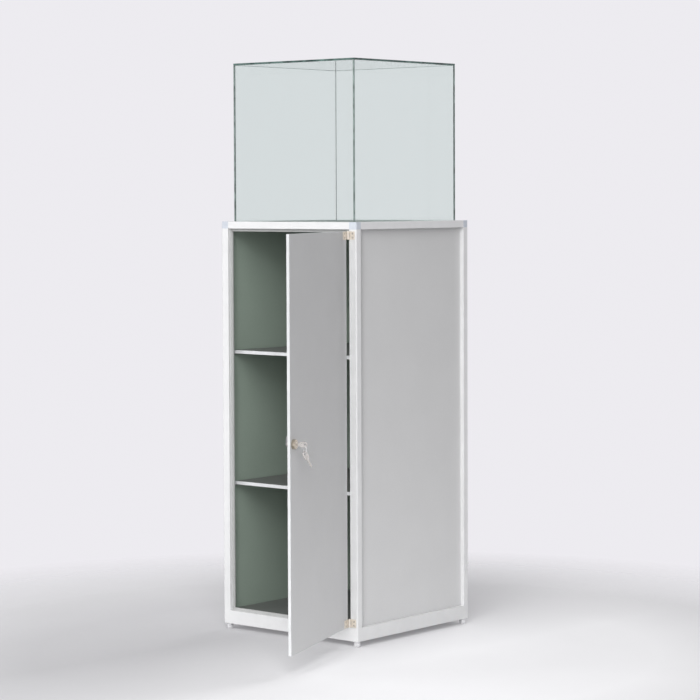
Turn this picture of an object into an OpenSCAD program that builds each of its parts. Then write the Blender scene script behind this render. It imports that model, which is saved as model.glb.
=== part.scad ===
// Pedestal display case: a lockable aluminium-profile cabinet with a glass hood on top.
// Millimetres, +Z up. The origin is on the floor, at the centre of the square footprint.
// The front, with its hinged door, faces -Y. The door is drawn open, as it rests.

/* [Pedestal] */
// Width and depth of the pedestal
case_w = 500; // [440:1:600]
// Height of the frame, from the underside of its plinth to its top edge
body_h = 1151; // [900:1:1300]
// Height of the feet that show below the plinth
foot_h = 16; // [10:1:25]

/* [Frame profiles] */
// Width of a corner post's front face
post_face = 25; // [24:0.5:30]
// Width of a corner post's side face
post_side = 20; // [19:0.5:24]
// Radius of the rounded outer corner
corner_r = 3.5; // [1:0.5:6]
// Height of the top rails and corner blocks
top_rail_h = 20; // [18:0.5:24]
// Height of the plinth rails
plinth_h = 37.5; // [34:0.5:50]
// Depth of every horizontal rail, from its outer face inwards
rail_d = 25; // [24:0.5:30]
// Wall thickness of the profiles
wall_t = 2.5; // [2:0.1:2.6]
// Width of the panel grooves in posts and rails
groove_w = 4.2; // [4.1:0.05:4.4]
// Depth of the panel grooves
groove_depth = 6.5; // [6.1:0.1:7]

/* [Panels and boards] */
// Thickness of the side and back panels and of the door-stop strips
panel_t = 4; // [3.8:0.1:4]
// How far the side panels lie behind the outer faces
side_recess = 12; // [11:0.5:13]
// How far the back panel and the door stops lie behind the outer faces
front_recess = 10; // [9.5:0.5:10.5]
// Width of the door-stop strips that shows
stop_w = 8; // [6:0.5:10]
// Thickness of the deck board under the hood
deck_t = 15; // [12:1:16]
// Drop from the frame's top edge to the deck
deck_drop = 2; // [1:0.5:3]
// Thickness of the floor sheet
floor_t = 3; // [2:0.5:5]

/* [Shelves] */
// Drop from the frame's top edge to the upper shelf's top
shelf_first = 368; // [280:1:420]
// Spacing of the two shelf tops
shelf_pitch = 376; // [280:1:420]
// Shelf thickness
shelf_t = 9.5; // [8:0.5:16]
// Distance from the frame's front to a shelf's front edge
shelf_front = 30; // [28:1:60]

/* [Door] */
// Door thickness
door_t = 8; // [6:0.5:8]
// Gap between the door and the posts, on each side
door_gap = 3; // [2:0.5:4]
// Gap between the plinth and the door
door_low_gap = 1.5; // [1:0.5:4]
// Gap between the door and the top rail
door_top_gap = 5; // [3:0.5:6]
// Angle at which the door rests open
door_open = 111; // [0:1:150]

/* [Hinges] */
// Height of a hinge
hinge_h = 22.5; // [20:0.5:40]
// Width of the leaf on the post, from the pin's centre
frame_leaf_w = 21; // [18:0.5:23]
// Width of the leaf on the door, from the pin's centre
door_leaf_w = 30; // [24:0.5:40]
// Outer radius of a hinge knuckle
knuckle_r = 3.75; // [3:0.25:3.75]

/* [Glass hood] */
// Height of the hood
hood_h = 450; // [300:1:600]
// Thickness of the panes
glass_t = 5; // [4:0.5:8]
// Gap between the hood and the frame's top rails
hood_gap = 0.5; // [0.5:0.1:2]

/* [Lock and keys] */
// Distance from the lock's centre to the door's free edge
lock_inset = 20; // [19:0.5:24]
// Height of the lock's centre above the door's middle
lock_rise = 3; // [-50:0.5:50]
// Radius of the lock's head
lock_head_r = 13; // [10:0.5:14]
// Height of the lock's head above the door
lock_head_h = 10; // [8:0.5:12]
// Angle at which the spare key leans outwards on its ring
spare_lean = 27; // [0:1:40]

/* [Hidden] */
$fn = 64;
eps = 1;
half = case_w / 2;
z_low = foot_h;
z_top = foot_h + body_h;
z_plinth = z_low + plinth_h;
z_rail = z_top - top_rail_h;
z_deck = z_top - deck_drop;
z_hood = z_deck + hood_h;
post_h = z_rail - z_plinth;
door_opening = half - post_face;
side_opening = half - post_side;
hood_half = door_opening - hood_gap;
side_groove = side_recess + panel_t / 2;
front_groove = front_recess + panel_t / 2;
in_groove = 6;
fit_gap = 0.3;
board_gap = 0.5;
core_r = 1.55;
screw_r = 1.5;
hole_spare = 0.2;

// inner corner of an extrusion's chamber, and how far its long and short legs run
chamber_long = post_side - wall_t;
chamber_leg = 9.4;
chamber_end = 16;
chamber_low = 7.4;
spigot_in = 12;
spigot_w = 6.4;
rail_chamber_low = groove_depth + 2;

foot_r = 9;
foot_inset = 12.5;
stud_r = 4;
stud_h = 20;
stud_hole_r = 4.6;
stud_gap = 0.05;
glide_h = 2;
glide_r = foot_r - 1;
cleat_h = 25.4;
cleat_leg = 62;
cleat_leg_t = 6;
cleat_up = 15;

flange_w = 12;
flange_t = z_deck - deck_t - z_rail;

shelf_gap = 3;
shelf_half = half - side_recess - panel_t - shelf_gap;
shelf_back = side_opening - shelf_gap;
trim_t = 1;
clip_w = 7;
clip_t = 2;
clip_h = 14;
clip_reach = 22;
clip_drop = 8.5;
clip_at = 17;
clip_screw_l = 5;
clip_head_r = 2.6;
clip_head_h = 1.4;

door_half = door_opening - door_gap;
door_z0 = z_plinth + door_low_gap;
door_z1 = z_rail - door_top_gap;
pin_inset = 1;
pin_out = 4;
pin_x = door_opening - pin_inset;
pin_y = -half - pin_out;
pin_r = 1.5;
pin_hole_r = 1.55;
pin_head_r = 2.5;
pin_head_h = 1;
leaf_t = 1.5;
leaf_gap = 0.2;
leaf_start = knuckle_r + 0.5;
knuckle_h = 7;
frame_screw_x = 14;
door_screw_x = 20;
hinge_screw_z = 6;
hinge_screw_l = 6.5;
hinge_screw_head_r = 3;
hinge_sink_r = 3.05;

lock_x = lock_inset - door_half;
lock_z = (door_z0 + door_z1) / 2 + lock_rise;
lock_bore = 8.1;
lock_thread_r = 8;
lock_back = 13;
lock_chamfer = 1.5;
nut_r = 11.5;
nut_h = 3.5;
plug_r = 6;
plug_gap = 0.05;
plug_front = lock_head_h - 0.3;
plug_back = 14.5;
tail_w = 5.8;
tail_hole_w = 6;
cam_t = 2;
cam_w = 14;
cam_reach = 21;
cam_end_r = cam_w / 2;
cam_head_r = 4.5;
cam_head_h = 2;
cam_screw_l = 5.5;
cam_hole_l = 6.5;
keyway_w = 2.2;
keyway_h = 6.4;
keyway_depth = 18;
key_t = 2;
key_blade_h = 6;
key_tip = -6;
key_bow_r = 7.25;
key_bow_start = 23;
key_bow_end = 32.5;
key_hole_r = 3;
key_hole_at = 33;
ring_r = 10.5;
ring_wire_r = 0.7;
ring_turn = 40;
ring_hang = 1.4;

satin_metal = [0.93, 0.93, 0.94];
block_metal = [0.84, 0.86, 0.9];
panel_grey = [0.72, 0.72, 0.73];
strip_grey = [0.78, 0.78, 0.78];
board_grey = [0.45, 0.46, 0.45];
glass_tint = [0.8, 0.9, 0.88, 0.4];
brass_tone = [0.78, 0.7, 0.56];
nickel_tone = [0.82, 0.82, 0.8];

// ---------- helpers ----------

module flip_x(on)
    if (on)
        mirror([1, 0, 0]) children();
    else
        children();

module flip_y(on)
    if (on)
        mirror([0, 1, 0]) children();
    else
        children();

// puts a shape drawn from a corner inwards, along +X and +Y, at the corner (sx, sy)
module at_corner(sx, sy)
    translate([sx * half, sy * half, 0])
        flip_x(sx > 0) flip_y(sy > 0) children();

module each_corner()
    for (sx = [-1, 1], sy = [-1, 1]) at_corner(sx, sy) children();

// a box from its lowest to its highest corner
module block(low, high) translate(low) cube(high - low);

// ---------- posts, corner blocks and rails ----------

// outline of a profile's face with its one rounded outer corner at the origin
module rounded_corner_outline(w, d)
{
    translate([corner_r, 0]) square([w - corner_r, d]);
    translate([0, corner_r]) square([w, d - corner_r]);
    translate([corner_r, corner_r]) circle(r = corner_r);
}

// the chamber inside a post: two legs that follow its outer walls
module post_chamber_outline()
{
    translate([wall_t, wall_t]) square([chamber_leg - wall_t, chamber_long - wall_t]);
    translate([wall_t, wall_t]) square([chamber_end - wall_t, chamber_low - wall_t]);
}

// the straight channels in which the panels and the door stops stand, from z0 to z1
module panel_channels(z0, z1)
    each_corner() {
        block([side_groove - groove_w / 2, post_side - groove_depth, z0],
              [side_groove + groove_w / 2, half + eps, z1]);
        block([post_face - groove_depth, front_groove - groove_w / 2, z0],
              [half + eps, front_groove + groove_w / 2, z1]);
    }

module clip_screw_holes()
    for (z = shelf_clip_heights())
        translate([clip_at + clip_w / 2, post_side - clip_screw_l - hole_spare, z])
            rotate([-90, 0, 0]) cylinder(r = core_r, h = clip_screw_l + eps);

module post(sx, sy)
    color(satin_metal) difference() {
        at_corner(sx, sy) difference() {
            translate([0, 0, z_plinth]) linear_extrude(post_h) difference() {
                rounded_corner_outline(post_face, post_side);
                post_chamber_outline();
            }
            clip_screw_holes();
            if (sx > 0 && sy < 0) post_hinge_holes();
        }
        panel_channels(z_plinth - eps, z_rail + eps);
    }

module post_hinge_holes()
    for (z = hinge_screw_heights())
        translate([half - pin_x - frame_screw_x, -eps, z])
            rotate([-90, 0, 0]) cylinder(r = core_r, h = wall_t + 2 * eps);

// the block at each top corner, with a spigot into each rail and one into the post
module corner_block(sx, sy)
    color(block_metal) difference() {
        at_corner(sx, sy) corner_block_solid();
        panel_channels(z_rail - eps, z_rail + groove_depth);
    }

module corner_block_solid()
{
    low = wall_t + fit_gap;
    z0 = z_rail + rail_chamber_low + fit_gap;
    z1 = z_top - low;
    translate([0, 0, z_rail]) linear_extrude(top_rail_h)
        rounded_corner_outline(post_face, post_side);
    block([post_face - eps, low, z0], [post_face + spigot_in, chamber_long, z1]);
    block([low, post_side - eps, z0], [rail_d - low, post_side + spigot_in, z1]);
    block([low, low, z_rail - spigot_in], [low + spigot_w, spigot_in, z_rail + eps]);
}

// a hollow top rail along X, from -reach to +reach, its outer face at the front
module top_rail(reach)
    difference() {
        block([-reach, -half, z_rail], [reach, rail_d - half, z_top]);
        block([-reach - eps, wall_t - half, z_rail + rail_chamber_low],
              [reach + eps, rail_d - wall_t - half, z_top - wall_t]);
    }

module front_top_rail()
    color(satin_metal) difference() {
        top_rail(door_opening);
        panel_channels(z_rail - eps, z_rail + groove_depth);
    }

// the side rails carry the flange that the deck board lies on
module side_top_rail()
    color(satin_metal) {
        difference() {
            rotate([0, 0, 90]) top_rail(side_opening);
            panel_channels(z_rail - eps, z_rail + groove_depth);
        }
        block([half - rail_d - flange_w, rail_d - half + fit_gap, z_rail],
              [half - rail_d + eps, half - rail_d - fit_gap, z_rail + flange_t]);
    }

module rounded_square(w, r)
{
    square([w - 2 * r, w], center = true);
    square([w, w - 2 * r], center = true);
    for (x = [-1, 1], y = [-1, 1])
        translate([x * (w / 2 - r), y * (w / 2 - r)]) circle(r = r);
}

// a strip of the plinth between two 45 degree mitres, from depth a to depth b
module mitred_strip(a, b, z0, z1)
    translate([0, 0, z0]) linear_extrude(z1 - z0)
        polygon([[a - half, a - half], [half - a, a - half],
                 [half - b, b - half], [b - half, b - half]]);

module plinth_rail(turn)
    color(satin_metal) difference() {
        rotate([0, 0, turn]) difference() {
            intersection() {
                mitred_strip(0, rail_d, z_low, z_plinth);
                translate([0, 0, z_low]) linear_extrude(plinth_h)
                    rounded_square(case_w, corner_r);
            }
            mitred_strip(wall_t, rail_d - wall_t, z_low + wall_t,
                         z_plinth - groove_depth - wall_t);
        }
        panel_channels(z_plinth - groove_depth, z_plinth + eps);
        plinth_corner_holes();
    }

// the foot's stud passes the plinth's floor, and the cleat's spigot passes its top
module plinth_corner_holes()
    each_corner() {
        translate([foot_inset, foot_inset, z_low - eps])
            cylinder(r = stud_hole_r, h = wall_t + 2 * eps);
        block([wall_t, wall_t, z_plinth - groove_depth - wall_t - eps],
              [chamber_leg, spigot_in + fit_gap, z_plinth + eps]);
    }

// a cleat joins two mitred plinth rails, holds the foot's stud and carries the post
module plinth_cleats()
    color(nickel_tone) each_corner() {
        low = wall_t + fit_gap;
        z0 = z_low + wall_t + fit_gap;
        difference() {
            block([low, low, z0], [rail_d - low, rail_d - low, z0 + cleat_h]);
            translate([foot_inset, foot_inset, z0 - eps])
                cylinder(r = stud_r + stud_gap, h = stud_h + 2 * eps);
        }
        block([rail_d - low - eps, low, z0], [cleat_leg, low + cleat_leg_t, z0 + cleat_h]);
        block([low, rail_d - low - eps, z0], [low + cleat_leg_t, cleat_leg, z0 + cleat_h]);
        block([low, low, z0 + cleat_h - eps],
              [low + spigot_w, spigot_in, z_plinth + cleat_up]);
    }

// ---------- panels and boards ----------

module side_panel()
    color(panel_grey)
        block([half - side_recess - panel_t, -side_opening - in_groove, z_plinth - in_groove],
              [half - side_recess, side_opening + in_groove, z_rail + in_groove]);

module back_panel()
    color(panel_grey)
        block([-door_opening - in_groove, half - front_recess - panel_t, z_plinth - in_groove],
              [door_opening + in_groove, half - front_recess, z_rail + in_groove]);

module deck_panel()
    color(strip_grey)
        block([board_gap - door_opening, rail_d - half + board_gap, z_deck - deck_t],
              [door_opening - board_gap, half - rail_d - board_gap, z_deck]);

module floor_panel()
    color(board_grey)
        block([side_recess + panel_t + board_gap - half, board_gap - side_opening, z_plinth],
              [half - side_recess - panel_t - board_gap, side_opening - board_gap,
               z_plinth + floor_t]);

// the stop strips stand in the panel grooves round the door opening
module side_stop()
    color(strip_grey)
        block([door_opening - stop_w, front_recess - half, z_plinth],
              [door_opening + in_groove, front_recess + panel_t - half, z_rail]);

module door_stop_top()
    color(strip_grey)
        block([stop_w - door_opening, front_recess - half, z_rail - stop_w],
              [door_opening - stop_w, front_recess + panel_t - half, z_rail + in_groove]);

module door_stop_bottom()
    color(strip_grey)
        block([stop_w - door_opening, front_recess - half, z_plinth - in_groove],
              [door_opening - stop_w, front_recess + panel_t - half, z_plinth + stop_w]);

// ---------- shelves ----------

function shelf_top(i) = z_top - shelf_first - (i - 1) * shelf_pitch;
function shelf_clip_heights() = [for (i = [1, 2]) shelf_top(i) - shelf_t - clip_drop];

module shelf(i)
    color(board_grey)
        block([-shelf_half, shelf_front + trim_t - half, shelf_top(i) - shelf_t],
              [shelf_half, shelf_back, shelf_top(i)]);

module shelf_edge(i)
    color(satin_metal)
        block([-shelf_half, shelf_front - half, shelf_top(i) - shelf_t],
              [shelf_half, shelf_front + trim_t - half, shelf_top(i)]);

// small angles on the posts, one under each corner of a shelf
module shelf_clips()
    color(nickel_tone) for (i = [1, 2]) each_corner() {
        z1 = shelf_top(i) - shelf_t;
        difference() {
            block([clip_at, post_side, z1 - clip_h],
                  [clip_at + clip_w, post_side + clip_t, z1]);
            translate([clip_at + clip_w / 2, post_side - eps, z1 - clip_drop])
                rotate([-90, 0, 0]) cylinder(r = core_r, h = clip_t + 2 * eps);
        }
        block([clip_at, post_side + clip_t - eps, z1 - clip_t],
              [clip_at + clip_w, post_side + clip_reach, z1]);
    }

module shelf_clip_screws()
    color(nickel_tone) each_corner()
        for (z = shelf_clip_heights())
            translate([clip_at + clip_w / 2, post_side - clip_screw_l, z])
                rotate([-90, 0, 0]) {
                    cylinder(r = screw_r, h = clip_screw_l + clip_t + clip_head_h / 2);
                    translate([0, 0, clip_screw_l + clip_t])
                        cylinder(r = clip_head_r, h = clip_head_h);
                }

// ---------- feet ----------

module foot(sx, sy)
    color("silver") at_corner(sx, sy) translate([foot_inset, foot_inset, 0]) {
        cylinder(r = glide_r, h = glide_h + eps);
        translate([0, 0, glide_h]) cylinder(r = foot_r, h = foot_h - glide_h);
        translate([0, 0, foot_h - eps]) cylinder(r = stud_r, h = wall_t + stud_h + eps);
    }

// ---------- glass hood ----------

module hood_side_pane()
    color(glass_tint)
        block([hood_half - glass_t, -hood_half, z_deck], [hood_half, hood_half, z_hood - glass_t]);

module hood_front_pane()
    color(glass_tint)
        block([glass_t - hood_half, -hood_half, z_deck],
              [hood_half - glass_t, glass_t - hood_half, z_hood - glass_t]);

module hood_top_pane()
    color(glass_tint)
        block([-hood_half, -hood_half, z_hood - glass_t], [hood_half, hood_half, z_hood]);

// ---------- door ----------

// turns a shape drawn with the door shut to where the door rests
module in_door()
    translate([pin_x, pin_y, 0]) rotate([0, 0, door_open]) translate([-pin_x, -pin_y, 0])
        children();

module door_panel()
    color(panel_grey) in_door() difference() {
        block([trim_t - door_half, -half, door_z0 + trim_t],
              [door_half - trim_t, door_t - half, door_z1 - trim_t]);
        lock_frame() translate([0, 0, -door_t - eps])
            cylinder(r = lock_bore, h = door_t + 2 * eps);
        for (z = hinge_screw_heights())
            translate([pin_x - door_screw_x, -half - eps, z])
                rotate([-90, 0, 0]) cylinder(r = core_r, h = hinge_screw_l + eps);
    }

module door_side_edging()
    color(satin_metal) in_door() {
        block([-door_half, -half, door_z0], [trim_t - door_half, door_t - half, door_z1]);
        block([door_half - trim_t, -half, door_z0], [door_half, door_t - half, door_z1]);
    }

module door_end_edging()
    color(satin_metal) in_door() {
        block([trim_t - door_half, -half, door_z0],
              [door_half - trim_t, door_t - half, door_z0 + trim_t]);
        block([trim_t - door_half, -half, door_z1 - trim_t],
              [door_half - trim_t, door_t - half, door_z1]);
    }

// ---------- hinges ----------

function hinge_base(top) = top ? door_z1 - hinge_h : door_z0;
function hinge_screw_heights() =
    [for (top = [false, true], s = [hinge_screw_z, hinge_h - hinge_screw_z])
        hinge_base(top) + s];

// a knuckle and the tab that joins it to its leaf, from z0 to z1
module knuckle(z0, z1)
{
    translate([0, 0, z0]) cylinder(r = knuckle_r, h = z1 - z0);
    block([0, pin_out - leaf_t, z0], [leaf_start + eps, pin_out, z1]);
}

// a leaf of width w drawn with the pin at the origin and the leaf along +X, with its
// screws at screw_x; outer = true has the two outer knuckles, false the middle one
module leaf(w, screw_x, outer)
    difference() {
        union() {
            block([leaf_start, pin_out - leaf_t, 0], [w, pin_out, hinge_h]);
            if (outer) {
                knuckle(0, knuckle_h);
                knuckle(hinge_h - knuckle_h, hinge_h);
            } else
                knuckle(knuckle_h + leaf_gap, hinge_h - knuckle_h - leaf_gap);
        }
        translate([0, 0, -eps]) cylinder(r = pin_hole_r, h = hinge_h + 2 * eps);
        for (z = [hinge_screw_z, hinge_h - hinge_screw_z])
            translate([screw_x, pin_out - leaf_t, z]) rotate([-90, 0, 0]) {
                cylinder(r1 = hinge_sink_r, r2 = core_r, h = leaf_t);
                cylinder(r = core_r, h = leaf_t + eps);
            }
    }

module frame_leaf(top)
    color(brass_tone) translate([pin_x, pin_y, hinge_base(top)])
        leaf(frame_leaf_w, frame_screw_x, true);

module door_leaf(top)
    color(brass_tone) in_door() translate([pin_x, pin_y, hinge_base(top)])
        mirror([1, 0, 0]) leaf(door_leaf_w, door_screw_x, false);

module hinge_pins()
    color(nickel_tone) for (top = [false, true])
        translate([pin_x, pin_y, hinge_base(top)]) {
            cylinder(r = pin_r, h = hinge_h);
            translate([0, 0, hinge_h]) cylinder(r = pin_head_r, h = pin_head_h);
        }

// countersunk screw with its head at z = 0, driven along +Z
module hinge_screw()
{
    cylinder(r1 = hinge_screw_head_r, r2 = screw_r, h = leaf_t);
    cylinder(r = screw_r, h = hinge_screw_l);
}

module hinge_screws_frame()
    color(nickel_tone) for (z = hinge_screw_heights())
        translate([pin_x + frame_screw_x, -half - leaf_t, z])
            rotate([-90, 0, 0]) hinge_screw();

module hinge_screws_door()
    color(nickel_tone) in_door() for (z = hinge_screw_heights())
        translate([pin_x - door_screw_x, -half - leaf_t, z])
            rotate([-90, 0, 0]) hinge_screw();

// ---------- lock and keys ----------

// origin on the door's outer face at the lock; +Z points outwards and +Y up
module lock_frame() translate([lock_x, -half, lock_z]) rotate([90, 0, 0]) children();

module lock_body()
    color(brass_tone) in_door() lock_frame() rotate_extrude()
        polygon([[plug_r + plug_gap, -lock_back], [lock_thread_r, -lock_back],
                 [lock_thread_r, 0], [lock_head_r, 0],
                 [lock_head_r, lock_head_h - lock_chamfer],
                 [lock_head_r - lock_chamfer, lock_head_h],
                 [plug_r + plug_gap, lock_head_h]]);

module lock_nut()
    color(nickel_tone) in_door() lock_frame() translate([0, 0, -door_t - nut_h])
        linear_extrude(nut_h) difference() {
            circle(r = nut_r, $fn = 6);
            circle(r = lock_thread_r + plug_gap);
        }

module lock_plug()
    color(nickel_tone) in_door() lock_frame() difference() {
        union() {
            translate([0, 0, -plug_back]) cylinder(r = plug_r, h = plug_back + plug_front);
            translate([-tail_w / 2, -tail_w / 2, -plug_back - cam_t])
                cube([tail_w, tail_w, cam_t + eps]);
        }
        block([-keyway_w / 2, -keyway_h / 2, plug_front - keyway_depth],
              [keyway_w / 2, keyway_h / 2, plug_front + eps]);
        translate([0, 0, -plug_back - cam_t - eps]) cylinder(r = core_r, h = cam_hole_l);
    }

// the cam stands up when unlocked, and lies behind the door stop when locked
module lock_cam()
    color(nickel_tone) in_door() lock_frame() translate([0, 0, -plug_back - cam_t])
        linear_extrude(cam_t) difference() {
            union() {
                translate([-cam_w / 2, 0]) square([cam_w, cam_reach - cam_end_r]);
                circle(r = cam_w / 2);
                translate([0, cam_reach - cam_end_r]) circle(r = cam_end_r);
            }
            square(tail_hole_w, center = true);
        }

module lock_cam_screw()
    color(nickel_tone) in_door() lock_frame() translate([0, 0, -plug_back - cam_t]) {
        translate([0, 0, -cam_head_h]) cylinder(r = cam_head_r, h = cam_head_h);
        translate([0, 0, -eps]) cylinder(r = screw_r, h = cam_screw_l);
    }

// a flat key in the keyway's plane, its blade along +Z and its bow outside the lock
module flat_key()
    difference() {
        union() {
            block([-key_t / 2, -key_blade_h / 2, key_tip],
                  [key_t / 2, key_blade_h / 2, key_bow_start]);
            block([-key_t / 2, -key_bow_r, key_bow_start],
                  [key_t / 2, key_bow_r, key_bow_end]);
            for (z = [key_bow_start, key_bow_end])
                translate([-key_t / 2, 0, z]) rotate([0, 90, 0])
                    cylinder(r = key_bow_r, h = key_t);
        }
        translate([-key_t, 0, key_hole_at]) rotate([0, 90, 0])
            cylinder(r = key_hole_r, h = 2 * key_t);
    }

module key() color(nickel_tone) in_door() lock_frame() flat_key();

// the ring's frame: origin at the ring's centre, below the hole in the key's bow
module ring_frame()
    translate([0, -ring_hang - ring_r, key_hole_at]) rotate([0, ring_turn, 0]) children();

module key_ring()
    color(nickel_tone) in_door() lock_frame() ring_frame()
        rotate_extrude() translate([ring_r, 0]) circle(r = ring_wire_r);

// the spare key hangs by its own hole from the bottom of the ring
module spare_key()
    color(nickel_tone) in_door() lock_frame() ring_frame()
        translate([0, -ring_r - ring_hang, 0]) rotate([90 - spare_lean, 0, 0])
            translate([0, 0, key_hole_at]) mirror([0, 0, 1]) flat_key();

// ---------- what is drawn ----------

post(-1, -1);  // post_front_left
post(1, -1);  // post_front_right
post(-1, 1);  // post_back_left
post(1, 1);  // post_back_right
corner_block(-1, -1);  // corner_block_front_left
corner_block(1, -1);  // corner_block_front_right
corner_block(-1, 1);  // corner_block_back_left
corner_block(1, 1);  // corner_block_back_right
front_top_rail();  // top_rail_front
mirror([0, 1, 0]) front_top_rail();  // top_rail_back
mirror([1, 0, 0]) side_top_rail();  // top_rail_left
side_top_rail();  // top_rail_right
plinth_rail(0);  // plinth_rail_front
plinth_rail(180);  // plinth_rail_back
plinth_rail(270);  // plinth_rail_left
plinth_rail(90);  // plinth_rail_right
plinth_cleats();
mirror([1, 0, 0]) side_panel();  // side_panel_left
side_panel();  // side_panel_right
back_panel();
deck_panel();
floor_panel();
mirror([1, 0, 0]) side_stop();  // door_stop_left
side_stop();  // door_stop_right
door_stop_top();
door_stop_bottom();
shelf(1);  // shelf_upper
shelf(2);  // shelf_lower
shelf_edge(1);  // shelf_upper_edge
shelf_edge(2);  // shelf_lower_edge
shelf_clips();
shelf_clip_screws();
foot(-1, -1);  // foot_front_left
foot(1, -1);  // foot_front_right
foot(-1, 1);  // foot_back_left
foot(1, 1);  // foot_back_right
hood_front_pane();
mirror([0, 1, 0]) hood_front_pane();  // hood_back_pane
mirror([1, 0, 0]) hood_side_pane();  // hood_left_pane
hood_side_pane();  // hood_right_pane
hood_top_pane();
door_panel();
door_side_edging();
door_end_edging();
frame_leaf(true);  // hinge_top_frame_leaf
frame_leaf(false);  // hinge_bottom_frame_leaf
door_leaf(true);  // hinge_top_door_leaf
door_leaf(false);  // hinge_bottom_door_leaf
hinge_pins();
hinge_screws_frame();
hinge_screws_door();
lock_body();
lock_nut();
lock_plug();
lock_cam();
lock_cam_screw();
key();
key_ring();
spare_key();
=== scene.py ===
"""Pedestal display case: a satin aluminium frame with silver-grey panels, a hinged door with a
cam lock and its keys, two shelves, round feet and a glass hood on the deck.

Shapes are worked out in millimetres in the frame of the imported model, and MM turns them into
metres. The door and what it carries are drawn shut and then swung to where the door rests."""
import math

import bmesh
import bpy
import numpy as np
from mathutils import Matrix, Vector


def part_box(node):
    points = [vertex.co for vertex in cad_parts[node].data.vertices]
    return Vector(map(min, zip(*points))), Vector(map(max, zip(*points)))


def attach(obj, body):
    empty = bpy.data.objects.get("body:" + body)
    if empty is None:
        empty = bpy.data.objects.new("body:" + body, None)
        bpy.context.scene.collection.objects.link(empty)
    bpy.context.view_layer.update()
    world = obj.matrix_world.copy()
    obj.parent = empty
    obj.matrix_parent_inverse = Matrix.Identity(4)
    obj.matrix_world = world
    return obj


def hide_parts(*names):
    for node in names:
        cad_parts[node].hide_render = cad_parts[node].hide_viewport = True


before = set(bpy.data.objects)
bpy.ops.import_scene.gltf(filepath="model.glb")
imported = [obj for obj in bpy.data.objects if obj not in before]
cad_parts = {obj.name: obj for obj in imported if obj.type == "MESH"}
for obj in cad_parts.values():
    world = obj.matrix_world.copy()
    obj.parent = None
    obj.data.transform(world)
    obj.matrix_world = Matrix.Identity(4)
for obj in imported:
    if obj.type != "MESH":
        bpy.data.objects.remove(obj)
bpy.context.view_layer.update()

# ---------- sizes, in millimetres ----------
MM = 0.001
MERGE_M, SLIVER_M = 2e-6, 1e-7
HALF = 250.0
POST_FACE, POST_SIDE, CORNER_R = 25.0, 20.0, 3.5
Z_LOW, Z_PLINTH, Z_RAIL, Z_TOP = 16.0, 53.5, 1147.0, 1167.0
RAIL_D = 25.0
SIDE_CHANNEL, FRONT_CHANNEL = (11.9, 16.1), (9.9, 14.1)
CHANNEL_DEPTH = 6.5
FLANGE_W, FLANGE_T = 12.0, 3.0
ARRIS, INNER_ARRIS, BLOCK_ARRIS = 0.5, 0.3, 0.4
CUT_EASE, BLOCK_EASE, BLOCK_LAP = 0.2, 0.3, 0.2
HOLD = 0.08
PIN = np.array([224.0, -254.0, 0.0])
PIN_R, PIN_HEAD_R, PIN_HEAD_H, HINGE_H = 1.5, 2.5, 1.0, 22.5
DOOR_OPEN = math.radians(111.0)
DOOR_HALF, DOOR_T, DOOR_LOW, DOOR_TOP = 222.0, 8.0, 55.0, 1142.0
LEAF_T = 1.5
LOCK = np.array([-202.0, -250.0, 601.5])
PLUG_R, PLUG_FRONT, PLUG_BACK, CAM_T = 6.0, 9.7, 14.5, 2.0
KEY_HOLE_AT, KEY_BOW_R, KEY_HOLE_R = 33.0, 7.25, 3.0
RING_R, RING_HANG, RING_WIRE = 10.5, 1.4, 0.7
RING_TURN, SPARE_LEAN = math.radians(40.0), math.radians(63.0)
SHELF_TOPS, SHELF_T, CLIP_DROP, CLIP_T = (799.0, 423.0), 9.5, 8.5, 2.0


# ---------- outlines and surfaces ----------
def rounded_line(corners, radii, closed=True, steps=4, hold=HOLD):
    """A line through corners in which each corner becomes an arc that touches both sides.
    The arc's points are the spherical blend of its first and last spoke, and one more point
    lies hold beyond each end, so that the flat sides keep their own normals."""
    corners = np.asarray(corners, float)
    radii = np.broadcast_to(np.asarray(radii, float), len(corners))
    parts = []
    for k, (p, r) in enumerate(zip(corners, radii)):
        if r <= 0 or (not closed and k in (0, len(corners) - 1)):
            parts.append(p[None])
            continue
        a = corners[k - 1] - p
        b = corners[(k + 1) % len(corners)] - p
        a, b = a / np.linalg.norm(a), b / np.linalg.norm(b)
        half = math.acos(float(np.clip(a @ b, -1, 1))) / 2
        reach = r / math.tan(half)
        centre = p + (a + b) / np.linalg.norm(a + b) * r / math.sin(half)
        first, last = p + a * reach - centre, p + b * reach - centre
        sweep = math.pi - 2 * half
        t = np.linspace(0, 1, steps + 1)[:, None]
        arc = (np.sin((1 - t) * sweep) * first + np.sin(t * sweep) * last) / math.sin(sweep)
        parts += [(p + a * (reach + hold))[None], centre + arc, (p + b * (reach + hold))[None]]
    return np.concatenate(parts)


def quads(n_u, n_v, wrap_u=False, wrap_v=False):
    """Faces of a grid of n_u by n_v points, each joining (u, v) to its three next neighbours."""
    u, v = np.meshgrid(np.arange(n_u - (not wrap_u)), np.arange(n_v - (not wrap_v)),
                       indexing="ij")
    u2, v2 = (u + 1) % n_u, (v + 1) % n_v
    return np.stack([u * n_v + v, u2 * n_v + v, u2 * n_v + v2, u * n_v + v2], -1).reshape(-1, 4)


def loops_solid(loops, ring=False):
    """A closed solid through a stack of loops (k, i, xyz). The ends are closed by flat faces,
    or with ring the last loop joins the first."""
    k, n = loops.shape[:2]
    faces = quads(k, n, wrap_u=ring, wrap_v=True).tolist()
    if not ring:
        faces += [list(range(n)), list(range((k - 1) * n, k * n))]
    return loops.reshape(-1, 3), faces


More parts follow.
